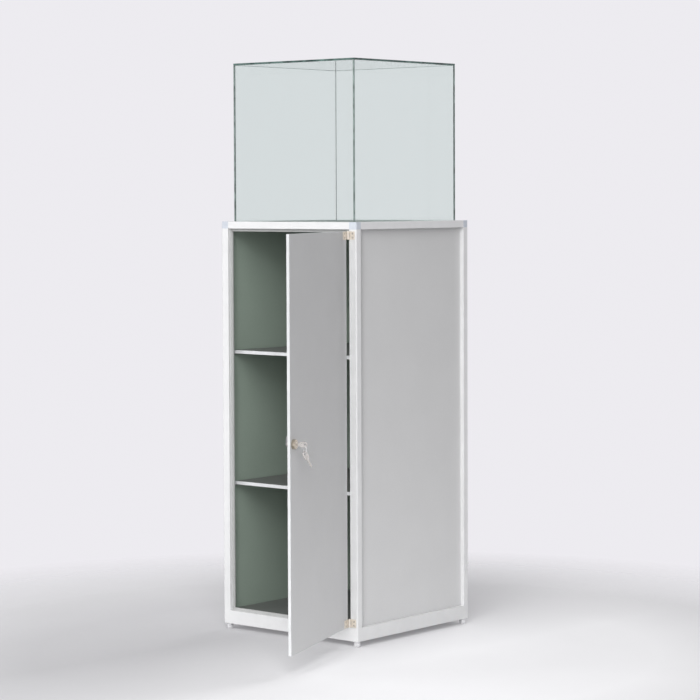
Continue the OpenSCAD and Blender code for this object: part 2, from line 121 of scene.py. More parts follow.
def inset(outline, by):
    """The outline moved inwards: each point moves along the sum of its two sides' inward
    normals over one plus their product, which keeps every side parallel to itself."""
    along = np.roll(outline, -1, 0) - outline
    along /= np.linalg.norm(along, axis=1, keepdims=True)
    after = np.stack([-along[:, 1], along[:, 0]], 1)
    before = np.roll(after, 1, 0)
    mitre = (before + after) / (1 + np.sum(before * after, 1, keepdims=True))
    return outline + mitre * by


def bar(outline, low, high, ease_low, ease_high, steps=3, hold=HOLD):
    """A straight bar with rounded ends. At angle t of an end's rounding the loop lies
    ease (1 - sin t) inside the outline and ease (1 - cos t) from the end. A loop that would
    lie on the one before it is left out."""
    t = np.linspace(0, math.pi / 2, steps + 1)
    ins = np.concatenate([[ease_low + hold], ease_low * (1 - np.sin(t)), [0, 0],
                          ease_high * (1 - np.sin(t[::-1])), [ease_high + hold]])
    rise = np.concatenate([[low], low + ease_low * (1 - np.cos(t)), [low + ease_low + hold],
                           [high - ease_high - hold],
                           high - ease_high * (1 - np.cos(t[::-1])), [high]])
    new = np.append(True, abs(np.diff(ins)) + abs(np.diff(rise)) > 1e-6)
    loops = [np.column_stack([inset(outline, i), np.full(len(outline), z)])
             for i, z in zip(ins[new], rise[new])]
    return loops_solid(np.array(loops))


def directions(n):
    """n directions evenly round a circle, in radians."""
    return np.linspace(0, 2 * math.pi, n, endpoint=False)


def round_points(r, z, a):
    """Points (r cos a, r sin a, z). The radius and height are one for all directions, or one
    for each direction, or one for each loop of them."""
    return np.stack(np.broadcast_arrays(r * np.cos(a), r * np.sin(a), z + 0 * a), -1)


def stepped(steps, a, ring=False):
    """A solid whose loops go round the directions a, one for each step (radius, height)."""
    return loops_solid(np.array([round_points(r, z, a) for r, z in steps]), ring)


def turned(profile, n=48, ring=False):
    """A surface of revolution: point (r, z) of the profile goes round as (r cos a, r sin a, z).
    With ring the profile is a closed outline off the axis, and else it begins and ends on it."""
    loops = round_points(profile[:, 0, None], profile[:, 1, None], directions(n))
    points, faces = loops_solid(loops, ring)
    return points, faces if ring else faces[:-2]


def thread(outer, depth, pitch, z, a):
    """The radius of a thread at height z and direction a: outer, less depth times one plus the
    cosine of the turns that z makes by the pitch, less a."""
    return outer - depth - depth * np.cos(2 * math.pi * z / pitch - a)


def tube(path, radius, n=10):
    """A round wire along a path: circles of the radius in the plane of the path's normal and
    binormal, with a flat face at each end."""
    along = np.gradient(path, axis=0)
    along /= np.linalg.norm(along, axis=1, keepdims=True)
    side = np.cross(along, [0.0, 0.0, 1.0])
    side /= np.linalg.norm(side, axis=1, keepdims=True)
    up = np.cross(side, along)
    a = directions(n)
    loops = (path[:, None] + radius * np.cos(a)[None, :, None] * side[:, None]
             + radius * np.sin(a)[None, :, None] * up[:, None])
    return loops_solid(loops)


# ---------- places ----------
def moved(solid, place):
    """The same solid with its points put through a function."""
    return place(solid[0]), solid[1]


def upright(sx, sy):
    """Places a shape drawn from an outer corner inwards at the corner (sx, sy)."""
    return lambda p: np.stack([sx * (HALF - p[:, 0]), sy * (HALF - p[:, 1]), p[:, 2]], 1)


def on_side(quarter):
    """Places a section drawn as (depth, height, length) along X at the front, and turns it by
    whole quarters about the vertical axis to another side."""
    c, s = round(math.cos(quarter * math.pi / 2)), round(math.sin(quarter * math.pi / 2))

    def place(p):
        x, y = p[:, 2], p[:, 0] - HALF
        return np.stack([c * x - s * y, s * x + c * y, p[:, 1]], 1)
    return place


def spun(p, angle, i, j):
    """Points turned by an angle from axis i towards axis j."""
    c, s = math.cos(angle), math.sin(angle)
    q = p.copy()
    q[:, i], q[:, j] = c * p[:, i] - s * p[:, j], s * p[:, i] + c * p[:, j]
    return q


def swung(p):
    """From the shut door to the door at rest: a turn by DOOR_OPEN about the hinge pins."""
    return spun(p - PIN, DOOR_OPEN, 0, 1) + PIN


def in_lock(p):
    """From the lock's own frame, +Z outwards and +Y up, to the door at rest."""
    return swung(np.stack([LOCK[0] + p[:, 0], LOCK[1] - p[:, 2], LOCK[2] + p[:, 1]], 1))


def in_ring(p):
    """From the key ring's frame, its centre below the hole in the key's bow."""
    return in_lock(spun(p, RING_TURN, 2, 0) + [0, -RING_HANG - RING_R, KEY_HOLE_AT])


def hanging(p):
    """From a key's frame to the spare key's place, hung by its hole from the ring's bottom."""
    below = np.stack([p[:, 0], p[:, 1], KEY_HOLE_AT - p[:, 2]], 1)
    return in_ring(spun(below, SPARE_LEAN, 1, 2) + [0, -RING_R - RING_HANG, 0])


def packed_box(node):
    """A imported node's lowest and highest corners in millimetres."""
    return [np.array(corner_point) / MM for corner_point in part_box(node)]


def add_piece(name, solids, body, materials, stands_for, sharp=32.0):
    """Makes one piece of closed solids (points, faces, material number): joins them, merges
    doubles, turns the faces outwards, hangs it on the body it rides on and hides the nodes it
    stands for."""
    points, faces, numbers, start = [], [], [], 0
    for solid_points, solid_faces, *number in solids:
        points.append(solid_points)
        faces += [[i + start for i in face] for face in solid_faces]
        numbers += (number or [0]) * len(solid_faces)
        start += len(solid_points)
    mesh = bpy.data.meshes.new(name)
    mesh.from_pydata((np.concatenate(points) * MM).tolist(), [], faces)
    for material in materials:
        mesh.materials.append(material)
    mesh.polygons.foreach_set("material_index", np.array(numbers, np.int32))
    work = bmesh.new()
    work.from_mesh(mesh)
    bmesh.ops.remove_doubles(work, verts=work.verts, dist=MERGE_M)
    bmesh.ops.dissolve_degenerate(work, edges=work.edges, dist=SLIVER_M)
    bmesh.ops.recalc_face_normals(work, faces=work.faces)
    work.to_mesh(mesh)
    work.free()
    mesh.polygons.foreach_set("use_smooth", np.ones(len(mesh.polygons), bool))
    mesh.set_sharp_from_angle(angle=math.radians(sharp))
    piece = bpy.data.objects.new(name, mesh)
    bpy.context.scene.collection.objects.link(piece)
    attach(piece, body)
    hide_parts(*stands_for)


# ---------- materials ----------
MIX_A, MIX_B, MIX_RESULT = 6, 7, 2      # the colour sockets of a Mix node
DRAWN, PRESSED, MOULDED, BLASTED = 0.00002, 0.00003, 0.00004, 0.00005      # relief in metres


class Nodes:
    """The node tree of a material or a world, and the kinds of node that its patterns need."""

    def __init__(self, owner):
        owner.use_nodes = True
        self.tree = owner.node_tree
        self.tree.nodes.clear()

    def feed(self, socket, term):
        """Gives a socket a pattern, or else a plain number, vector or colour."""
        if isinstance(term, bpy.types.NodeSocket):
            self.tree.links.new(term, socket)
        else:
            socket.default_value = (*term, 1) if socket.type == "RGBA" else term

    def node(self, kind, terms=None, **settings):
        """A node with its settings, and terms for its sockets by their name or number."""
        made = self.tree.nodes.new(kind)
        for key, value in settings.items():
            setattr(made, key, value)
        for key, term in (terms or {}).items():
            self.feed(made.inputs[key], term)
        return made

    def maths(self, operation, *terms):
        """The result of one Math node over its terms in order."""
        made = self.node("ShaderNodeMath", dict(enumerate(terms)), operation=operation)
        return made.outputs[0]

    def vector_maths(self, operation, *terms, result="Value"):
        """The result of one Vector Math node over its terms in order."""
        made = self.node("ShaderNodeVectorMath", dict(enumerate(terms)), operation=operation)
        return made.outputs[result]

    def seen_rays(self):
        """1 for the rays of the camera, of mirrors and of glass, 0 for those that carry light."""
        ray = self.node("ShaderNodeLightPath").outputs
        shiny = self.maths("MAXIMUM", ray["Is Camera Ray"], ray["Is Glossy Ray"])
        return self.maths("MAXIMUM", shiny, ray["Is Transmission Ray"])


class Finish(Nodes):
    """A Principled material and the few nodes that its pattern needs."""

    def __init__(self, name, colour, metallic=0.0, roughness=0.5, specular=0.5):
        self.material = bpy.data.materials.new(name)
        super().__init__(self.material)
        self.material.diffuse_color = (*colour, 1)
        self.shader = self.node("ShaderNodeBsdfPrincipled",
                                {"Base Color": colour, "Metallic": metallic,
                                 "Roughness": roughness, "Specular IOR Level": specular})
        self.out = self.node("ShaderNodeOutputMaterial",
                             {"Surface": self.shader.outputs["BSDF"]})

    def place(self, scale=(1, 1, 1), turn=(0, 0, 0)):
        """Object coordinates, stretched and turned."""
        at = self.node("ShaderNodeTexCoord").outputs["Object"]
        terms = {"Vector": at, "Scale": scale, "Rotation": turn}
        return self.node("ShaderNodeMapping", terms).outputs["Vector"]

    def noise(self, where, scale, detail=3.0, rough=0.55):
        """A cloudy pattern about 0.5, of about scale clouds to a metre."""
        terms = {"Vector": where, "Scale": scale, "Detail": detail, "Roughness": rough}
        return self.node("ShaderNodeTexNoise", terms).outputs["Fac"]

    def spread(self, value, low, high, start=0.3, end=0.7):
        """Maps a pattern from start..end to low..high, held at both ends."""
        terms = {"Value": value, "From Min": start, "From Max": end, "To Min": low,
                 "To Max": high}
        return self.node("ShaderNodeMapRange", terms).outputs["Result"]

    def sum(self, a, b, share):
        """a + share b."""
        return self.maths("MULTIPLY_ADD", b, share, a)

    def blend(self, factor, first, second):
        """A colour between two, by a factor that is a pattern."""
        made = self.node("ShaderNodeMix", {"Factor": factor}, data_type="RGBA")
        self.feed(made.inputs[MIX_A], first)
        self.feed(made.inputs[MIX_B], second)
        return made.outputs[MIX_RESULT]

    def colour(self, output):
        """Lets a pattern of colours be the surface's colour."""
        self.feed(self.shader.inputs["Base Color"], output)

    def rough(self, output):
        """Lets a pattern be the surface's roughness."""
        self.feed(self.shader.inputs["Roughness"], output)

    def bump(self, output, depth, strength):
        """Relief of the pattern, depth metres high."""
        made = self.node("ShaderNodeBump",
                         {"Height": output, "Distance": depth, "Strength": strength})
        self.feed(self.shader.inputs["Normal"], made.outputs["Normal"])

    def cover(self, *layers):
        """Mixes further shaders over the Principled one, each by its factor."""
        last = self.shader.outputs["BSDF"]
        for factor, layer in layers:
            made = self.node("ShaderNodeMixShader", {"Fac": factor, 1: last, 2: layer})
            last = made.outputs["Shader"]
        self.feed(self.out.inputs["Surface"], last)


def satin_aluminium(name, along):
    """Drawn and anodised profile: fine lines run along the bar, over a faint cloudy sheen."""
    made = Finish(name, (0.73, 0.73, 0.73), metallic=0.25, roughness=0.42)
    stretch = [1.0, 1.0, 1.0]
    stretch[along] = 0.012
    lines = made.noise(made.place(tuple(stretch)), scale=2600, detail=2.0)
    clouds = made.noise(made.place(), scale=22)
    both = made.sum(clouds, lines, share=0.8)
    made.colour(made.blend(made.spread(both, 0, 1, start=0.6, end=1.2),
                           (0.7, 0.702, 0.705), (0.76, 0.762, 0.765)))
    made.rough(made.spread(both, 0.36, 0.48, start=0.6, end=1.2))
    made.bump(lines, DRAWN, strength=0.5)
    return made.material


def cast_corner():
    """Corner casting: bead-blasted, a little bluer and duller than the drawn profiles."""
    made = Finish("cast_corner", (0.58, 0.61, 0.66), metallic=0.25)
    grain = made.noise(made.place(), scale=3200, detail=2.0)
    clouds = made.noise(made.place(), scale=60)
    made.colour(made.blend(made.spread(clouds, 0, 1), (0.54, 0.575, 0.63), (0.6, 0.635, 0.69)))
    made.rough(made.spread(grain, 0.44, 0.58))
    made.bump(grain, BLASTED, strength=0.6)
    return made.material


def laminate_pattern(made, where, rough=(0.42, 0.56)):
    """The look of all board laminate: a fine pearl mottling of about a millimetre with slow
    clouds, from 0 to 1. Sets the gloss, which follows the mottling, and a faint relief."""
    mottle = made.noise(where, scale=900, rough=0.6)
    clouds = made.noise(where, scale=9, detail=2.0)
    made.rough(made.spread(mottle, *rough))
    made.bump(made.noise(where, scale=2400, detail=2.0), PRESSED, strength=0.5)
    return made.spread(made.sum(mottle, clouds, share=0.2), 0, 1, start=0.4, end=0.8)


def laminate(name, dark, light, rough=(0.42, 0.56), specular=0.5):
    """Board laminate of one colour all round."""
    made = Finish(name, light, specular=specular)
    made.colour(made.blend(laminate_pattern(made, made.place(), rough), dark, light))
    return made.material


def laminate_painted_shade_inside():
    """Laminate of the side and back panels: silver on the outside, and on the faces towards the
    inside a darker green-grey that is painted shade, told apart by where a point lies, in metres."""
    made = Finish("laminate_painted_shade_inside", (0.6, 0.6, 0.605))
    where = made.place()
    pattern = laminate_pattern(made, where)
    outside = made.blend(pattern, (0.585, 0.585, 0.59), (0.66, 0.66, 0.665))
    # painted shade: the same laminate made darker and greener on the faces towards the inside
    inside_painted_shade = made.blend(pattern, (0.235, 0.29, 0.245), (0.28, 0.334, 0.288))
    axes = made.node("ShaderNodeSeparateXYZ", {0: where}).outputs
    behind = made.spread(axes["Y"], 0, 1, start=0.237, end=0.239)
    beside = made.spread(made.maths("ABSOLUTE", axes["X"]), 0, 1, start=0.235, end=0.237)
    made.colour(made.blend(made.maths("MAXIMUM", behind, beside), inside_painted_shade, outside))
    return made.material


def edge_band():
    """Pale edge band: smooth, with faint marks of the trimming cutter along it."""
    made = Finish("edge_band", (0.62, 0.63, 0.64), roughness=0.36)
    marks = made.noise(made.place(scale=(1, 1, 0.1)), scale=700, detail=2.0)
    clouds = made.noise(made.place(), scale=30, detail=2.0)
    made.colour(made.blend(made.spread(clouds, 0, 1), (0.59, 0.6, 0.61), (0.65, 0.66, 0.67)))
    made.rough(made.spread(marks, 0.3, 0.44))
    made.bump(marks, DRAWN, strength=0.4)
    return made.material


def glass(name, colour, share=0.0, solid=None):
    """Clear float glass that lets the light of lamps and of lit surfaces straight through, so
    that what stands behind it stays lit as it is outside. share is how much of a dark solid
    surface the polished edges show, which is painted shade. Faces have none, and a trace of dust
    instead."""
    made = Finish(name, colour, roughness=0.0)
    made.shader.inputs["Transmission Weight"].default_value = 1.0 - share
    made.shader.inputs["IOR"].default_value = 1.5
    if share:
        clouds = made.noise(made.place(), scale=40, detail=2.0)
        # painted shade: the polished edges show a dark solid colour
        made.colour(made.blend(made.spread(clouds, 0, 1), solid, colour))
        made.rough(made.spread(made.noise(made.place(), scale=500, detail=2.0), 0.02, 0.1))
    else:
        dust = made.noise(made.place(), scale=700, detail=4.0, rough=0.7)
        made.rough(made.spread(dust, 0.0, 0.004, start=0.66, end=0.8))
    clear = made.node("ShaderNodeBsdfTransparent", {"Color": (0.93, 0.96, 0.955)}).outputs["BSDF"]
    ray = made.node("ShaderNodeLightPath").outputs
    made.cover((ray["Is Diffuse Ray"], clear), (ray["Is Shadow Ray"], clear))
    return made.material


def plated(name, colour, dark, rough, scratch=900.0, metallic=0.6):
    """Plated metal: polished or dull plate with small scratches and darker handling marks."""
    made = Finish(name, colour, metallic=metallic, roughness=sum(rough) / 2)
    slanted = made.place(scale=(1, 0.2, 0.6), turn=(0.3, 0.5, 0.2))
    lines = made.noise(slanted, scratch, detail=4.0, rough=0.7)
    marks = made.noise(made.place(), scale=140)
    worn = made.spread(made.sum(marks, lines, share=0.4), 0, 1, start=0.5, end=0.95)
    made.colour(made.blend(worn, dark, colour))
    made.rough(made.spread(lines, *rough))
    made.bump(lines, DRAWN, strength=0.3)
    return made.material


def nylon():
    """The glide under a foot: moulded nylon, faintly grained."""
    made = Finish("glide_nylon", (0.5, 0.5, 0.5))
    grain = made.noise(made.place(), scale=1800, detail=2.0)
    made.colour(made.blend(made.spread(grain, 0, 1), (0.46, 0.46, 0.46), (0.54, 0.54, 0.54)))
    made.rough(made.spread(grain, 0.45, 0.6))
    made.bump(grain, MOULDED, strength=0.5)
    return made.material


aluminium = {axis: satin_aluminium("satin_aluminium_" + axis, k) for k, axis in enumerate("xyz")}
corner = cast_corner()
panel_face = laminate_painted_shade_inside()
stop_face = laminate("stop_laminate", (0.38, 0.385, 0.38), (0.43, 0.435, 0.43))
door_face = laminate("door_laminate", (0.61, 0.61, 0.615), (0.69, 0.69, 0.695))
deck_face = laminate("deck_laminate", (0.27, 0.29, 0.28), (0.33, 0.35, 0.34),
                     rough=(0.6, 0.75), specular=0.05)
# Near-black board of the floor sheet and shelves: its darkness is painted shade of the dark
# inside.
shelf_face_painted_shade = laminate("shelf_laminate_painted_shade", (0.11, 0.115, 0.11), (0.15, 0.155, 0.15))
band = edge_band()
pane_face = glass("pane_glass", (0.88, 0.92, 0.905))
# The edges' dark solid share is painted shade, much darker on the top pane's edges.
pane_edge_painted_shade = glass("pane_edge_glass_painted_shade", (0.3, 0.38, 0.36), share=0.8, solid=(0.1, 0.13, 0.12))
top_edge_painted_shade = glass("top_edge_glass_painted_shade", (0.12, 0.2, 0.18), share=0.9, solid=(0.012, 0.035, 0.03))
chrome = plated("foot_chrome", (0.86, 0.86, 0.87), (0.76, 0.76, 0.78), (0.16, 0.3))
glide = nylon()
warm_nickel = plated("warm_nickel", (0.86, 0.81, 0.74), (0.72, 0.66, 0.58), (0.26, 0.42))
# Darker than zinc plate is: painted shade, taken from the nut and cam in the door's shade, on all
# zinc parts.
zinc_painted_shade = plated("zinc_plate_painted_shade", (0.4, 0.4, 0.41), (0.29, 0.29, 0.3), (0.34, 0.5), scratch=500.0)
screw_nickel = plated("screw_nickel", (0.8, 0.76, 0.7), (0.62, 0.58, 0.52), (0.2, 0.34))
lock_nickel = plated("lock_nickel", (0.76, 0.69, 0.59), (0.4, 0.35, 0.27), (0.14, 0.28),
                     metallic=0.9)
# Paler than brass is: partly the plug's brass, partly a painted highlight.
plug_brass_painted_highlight = plated("plug_brass_painted_highlight", (0.95, 0.89, 0.78), (0.8, 0.72, 0.6), (0.2, 0.36))
key_nickel = plated("key_nickel", (0.76, 0.74, 0.71), (0.5, 0.48, 0.45), (0.16, 0.3),
                    scratch=700.0, metallic=0.8)
# Paler than the keys: partly polished nickel, partly a painted glint.
ring_nickel_painted_glint = plated("ring_nickel_painted_glint", (0.9, 0.9, 0.89), (0.74, 0.73, 0.72), (0.1, 0.22))


# ---------- frame ----------
def post_section():
    """A post's section from its rounded outer corner, with the two panel channels."""
    a0, a1 = SIDE_CHANNEL
    b0, b1 = FRONT_CHANNEL
    corners = [[0, 0], [POST_FACE, 0], [POST_FACE, b0], [POST_FACE - CHANNEL_DEPTH, b0],
               [POST_FACE - CHANNEL_DEPTH, b1], [POST_FACE, b1], [POST_FACE, POST_SIDE],
               [a1, POST_SIDE], [a1, POST_SIDE - CHANNEL_DEPTH],
               [a0, POST_SIDE - CHANNEL_DEPTH], [a0, POST_SIDE], [0, POST_SIDE]]
    channel = [INNER_ARRIS, 0, 0, INNER_ARRIS]
    return rounded_line(corners, [CORNER_R, ARRIS, *channel, ARRIS, *channel, ARRIS], steps=6)


def block_section():
    """A corner block's section above the channels."""
    return rounded_line([[0, 0], [POST_FACE, 0], [POST_FACE, POST_SIDE], [0, POST_SIDE]],
                        [CORNER_R, BLOCK_ARRIS, BLOCK_ARRIS, BLOCK_ARRIS], steps=6)


def rail_section(channel, flange):
    """A top rail's section as (depth, height), with the channel for the panel below it and,
    on a side rail, the flange under the deck."""
    a0, a1 = channel
    z0, z1 = Z_RAIL, Z_TOP
    corners = [[0, z0], [a0, z0], [a0, z0 + CHANNEL_DEPTH], [a1, z0 + CHANNEL_DEPTH], [a1, z0]]
    radii = [ARRIS, INNER_ARRIS, 0, 0, INNER_ARRIS]
    if flange:
        corners += [[RAIL_D + FLANGE_W, z0], [RAIL_D + FLANGE_W, z0 + FLANGE_T],
                    [RAIL_D, z0 + FLANGE_T], [RAIL_D, z1], [0, z1]]
        radii += [INNER_ARRIS, INNER_ARRIS, 0, ARRIS, ARRIS]
    else:
        corners += [[RAIL_D, z0], [RAIL_D, z1], [0, z1]]
        radii += [ARRIS, ARRIS, ARRIS]
    return rounded_line(corners, radii, steps=3)


def plinth_section(channel):
    """A plinth rail's section as (depth, height), with the panel channel in its top."""
    a0, a1 = channel
    z0, z1 = Z_LOW, Z_PLINTH
    corners = [[0, z0], [RAIL_D, z0], [RAIL_D, z1], [a1, z1], [a1, z1 - CHANNEL_DEPTH],
               [a0, z1 - CHANNEL_DEPTH], [a0, z1], [0, z1]]
    return rounded_line(corners, [ARRIS, ARRIS, ARRIS, INNER_ARRIS, 0, 0, INNER_ARRIS, ARRIS],
                        steps=3)


def mitred_bar(section, steps=5):
    """A plinth rail with mitred ends whose outer corner is rounded. At angle t of the turn a
    point at depth d lies (r - d) sin t past the start of the corner where d is under the
    radius r, and further in it lies on the mitre."""
    d, z = section[:, 0], section[:, 1]
    t = np.linspace(0, math.pi / 4, steps + 1)[:, None]
    past = np.where(d < CORNER_R, (CORNER_R - d) * np.sin(t), CORNER_R - d + 0 * t)
    depth = np.where(d < CORNER_R, CORNER_R - (CORNER_R - d) * np.cos(t), d)
    right = np.stack([depth, z + 0 * t, HALF - CORNER_R + past], -1)
    left = right[::-1] * [1, 1, -1]
    return loops_solid(np.concatenate([left, right]))


CORNERS = (("front_left", -1, -1), ("front_right", 1, -1), ("back_left", -1, 1),
           ("back_right", 1, 1))

for where, sx, sy in CORNERS:
    post = bar(post_section(), Z_PLINTH, Z_RAIL, CUT_EASE, CUT_EASE)
    add_piece("post_bar_" + where, [moved(post, upright(sx, sy))], "frame",
              [aluminium["z"]], ["post_" + where])
    channel_top = Z_RAIL + CHANNEL_DEPTH
    foot_of_block = bar(post_section(), Z_RAIL, channel_top + BLOCK_LAP, CUT_EASE, CUT_EASE)
    top_of_block = bar(block_section(), channel_top, Z_TOP, 0.0, BLOCK_EASE)
    add_piece("corner_casting_" + where,
              [moved(foot_of_block, upright(sx, sy)), moved(top_of_block, upright(sx, sy))],
              "frame", [corner], ["corner_block_" + where])

RAILS = (("front", POST_FACE, FRONT_CHANNEL, "x"), ("right", POST_SIDE, SIDE_CHANNEL, "y"),
         ("back", POST_FACE, FRONT_CHANNEL, "x"), ("left", POST_SIDE, SIDE_CHANNEL, "y"))

for quarter, (where, post_width, channel, axis) in enumerate(RAILS):
    end = HALF - post_width
    rail = bar(rail_section(channel, axis == "y"), -end, end, CUT_EASE, CUT_EASE)
    plinth = mitred_bar(plinth_section(channel))
    for name, solid, node in (("top_rail_bar_", rail, "top_rail_"),
                              ("plinth_bar_", plinth, "plinth_rail_")):
        add_piece(name + where, [moved(solid, on_side(quarter))], "frame",
                  [aluminium[axis]], [node + where])


# ---------- feet ----------
FOOT_R, FOOT_H, FOOT_IN = 9.0, 16.0, 12.5
GLIDE_R, GLIDE_H, BARREL_LOW = 8.0, 2.4, 2.0
GROOVE_LOW, GROOVE_TOP, GROOVE_DEEP = 11.8, 12.6, 0.6
STUD_R, STUD_THREAD, STUD_PITCH = 4.0, 0.3, 1.5
STUD_LOW, STUD_TOP, STUD_CHAMFER = 15.0, 38.5, 0.6


def foot_solids():
    """A turned foot: the nylon glide, the chromed barrel with a groove near its top, and the
    threaded stud, whose radius waves along its length by one pitch a turn."""
    glide_line = rounded_line([[0, 0], [GLIDE_R, 0], [GLIDE_R, GLIDE_H], [0, GLIDE_H]],
                              [0, 0.8, 0.2, 0], closed=False)
    groove_r = FOOT_R - GROOVE_DEEP
    barrel_line = rounded_line([[0, BARREL_LOW], [FOOT_R, BARREL_LOW], [FOOT_R, GROOVE_LOW],
                                [groove_r, GROOVE_LOW], [groove_r, GROOVE_TOP],
                                [FOOT_R, GROOVE_TOP], [FOOT_R, FOOT_H], [0, FOOT_H]],
                               [0, 0.7, 0.15, 0.1, 0.1, 0.15, 0.5, 0], closed=False)
    a = directions(24)
    z = np.linspace(STUD_LOW, STUD_TOP, 90)[:, None]
    r = thread(STUD_R, STUD_THREAD, STUD_PITCH, z, a)
    r[-1] -= STUD_CHAMFER
    stud = loops_solid(round_points(r, z, a))
    return (*turned(glide_line), 1), (*turned(barrel_line), 0), (*stud, 2)


for where, sx, sy in CORNERS:
    solids = [(upright(sx, sy)(points + [FOOT_IN, FOOT_IN, 0]), faces, number)
              for points, faces, number in foot_solids()]
    add_piece("foot_turned_" + where, solids, "foot_" + where,
              [chrome, glide, zinc_painted_shade], ["foot_" + where])


# ---------- panels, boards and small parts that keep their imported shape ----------
def dress(material, *nodes):
    """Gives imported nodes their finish."""
    for node in nodes:
        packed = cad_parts[node]
        packed.data.materials.clear()
        packed.data.materials.append(material)


dress(panel_face, "side_panel_left", "side_panel_right", "back_panel")
dress(stop_face, "door_stop_left", "door_stop_right", "door_stop_top", "door_stop_bottom")
dress(door_face, "door_panel")
dress(deck_face, "deck_panel")
dress(shelf_face_painted_shade, "floor_panel", "shelf_upper", "shelf_lower")
dress(zinc_painted_shade, "plinth_cleats", "shelf_clips", "lock_cam")
dress(warm_nickel, "hinge_top_frame_leaf", "hinge_bottom_frame_leaf", "hinge_top_door_leaf",
      "hinge_bottom_door_leaf")


# ---------- edge bands ----------
BAND_T, BAND_HOLD = 1.0, 0.05
DOOR_BAND_R, DOOR_BAND_EASE = 0.7, 0.15
SHELF_BAND_R, SHELF_BAND_EASE = 0.6, 0.1


def band_section(width, radius):
    """A band's section: flat towards the board, rounded at its two outer edges."""
    return rounded_line([[0, 0], [BAND_T, 0], [BAND_T, width], [0, width]],
                        [radius, 0, 0, radius], steps=4, hold=BAND_HOLD)


def door_side_bands():
    """The two bands along the door's sides, as bars along Z drawn on the shut door."""
    points, faces = bar(band_section(DOOR_T, DOOR_BAND_R), DOOR_LOW, DOOR_TOP,
                        DOOR_BAND_EASE, DOOR_BAND_EASE)
    left = points - [DOOR_HALF, HALF, 0]
    return [(swung(left), faces), (swung(left * [-1, 1, 1]), faces)]


def door_end_bands():
    """The two bands along the door's ends, as bars along X between the side bands."""
    end = DOOR_HALF - BAND_T
    points, faces = bar(band_section(DOOR_T, DOOR_BAND_R), -end, end, 0.0, 0.0)
    d, y, x = points.T
    return [(swung(np.stack([x, y - HALF, z], 1)), faces) for z in (DOOR_LOW + d, DOOR_TOP - d)]


def shelf_band(node):
    """The band on a shelf's front edge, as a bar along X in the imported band's box."""
    low, high = packed_box(node)
    points, faces = bar(band_section(high[2] - low[2], SHELF_BAND_R), low[0], high[0],
                        SHELF_BAND_EASE, SHELF_BAND_EASE)
    d, up, x = points.T
    return [(np.stack([x, low[1] + d, low[2] + up], 1), faces)]


add_piece("door_side_bands", door_side_bands(), "door", [band],
          ["door_side_edging"])
add_piece("door_end_bands", door_end_bands(), "door", [band],
          ["door_end_edging"])
for level in ("upper", "lower"):
    add_piece("shelf_band_" + level, shelf_band(f"shelf_{level}_edge"), "frame",
              [band], [f"shelf_{level}_edge"])


# ---------- glass hood ----------
PANE_CHAMFER = 0.6


def pane(node, thin, bonded):
    """A pane in its packed box: a rectangle of glass whose ground edges and corners are cut at
    45 degrees. Its two faces and the edges bonded to another pane, given as (axis, end), are
    clear, and the rest is polished edge."""
    low, high = packed_box(node)
    a, b = [k for k in range(3) if k != thin]
    outline = rounded_line([[low[a], low[b]], [high[a], low[b]], [high[a], high[b]],
                            [low[a], high[b]]], PANE_CHAMFER, steps=1, hold=PANE_CHAMFER / 2)
    points, faces = bar(outline, low[thin], high[thin], PANE_CHAMFER, PANE_CHAMFER, steps=1,
                        hold=0.0)
    placed = np.empty_like(points)
    placed[:, a], placed[:, b], placed[:, thin] = points.T
    sides = np.array(faces[:-2])
    centres = placed[sides].mean(1)
    clear = np.zeros(len(sides), bool)
    for axis, end in bonded:
        clear |= abs(centres[:, axis] - (low, high)[end][axis]) < PANE_CHAMFER / 4
    return [(placed, sides[~clear].tolist(), 1),
            (placed, sides[clear].tolist() + faces[-2:], 0)]


PANES = (("front", 1, ((0, 0), (0, 1), (2, 1))), ("back", 1, ((0, 0), (0, 1), (2, 1))),
         ("left", 0, ((2, 1),)), ("right", 0, ((2, 1),)), ("top", 2, ()))

for side, thin, bonded in PANES:
    node = f"hood_{side}_pane"
    add_piece("glass_pane_" + side, pane(node, thin, bonded), "hood",
              [pane_face, top_edge_painted_shade if side == "top" else pane_edge_painted_shade], [node], sharp=20.0)


# ---------- screws and hinge pins ----------
SHANK_R, SCREW_THREAD, SCREW_PITCH, RIM_H = 1.5, 0.1, 0.9, 0.12
RECESS_FLANK, RECESS_END = 0.15, 0.4
RECESS_ARM, RECESS_WIDTH, RECESS_DEEP = 1.25, 0.34, 0.5     # shares of the head's radius
RECESS_MOST = 0.6                                           # share of the head's height
SHANK_GAP, POINT_SHARES = 0.05, np.array([[0.8], [0.45], [0.0]])
SCREW_UP, FRAME_SCREW_X, DOOR_SCREW_X = 6.0, 14.0, 20.0
CLIP_SCREW_X, CLIP_HEAD_H = 20.5, 0.7


def cross_head(radius, dome, depth, a):
    """The top of a screw's head over (r, a): a cap of height dome (1 - (r / radius) squared),
    less the cross recess, which is depth deep where a point lies within half a width of either
    axis and half an arm from the centre, with walls that slope."""
    arm, width = radius * RECESS_ARM, radius * RECESS_WIDTH
    r = radius * np.linspace(0, 1, 12)[:, None]
    x, y = r * np.cos(a), r * np.sin(a)
    near, far = np.minimum(abs(x), abs(y)), np.maximum(abs(x), abs(y))
    inside = np.minimum(np.clip((width / 2 - near) / RECESS_FLANK, 0, 1),
                        np.clip((arm / 2 - far) / RECESS_END, 0, 1))
    return round_points(r, dome * (1 - (r / radius) ** 2) - depth * inside, a)


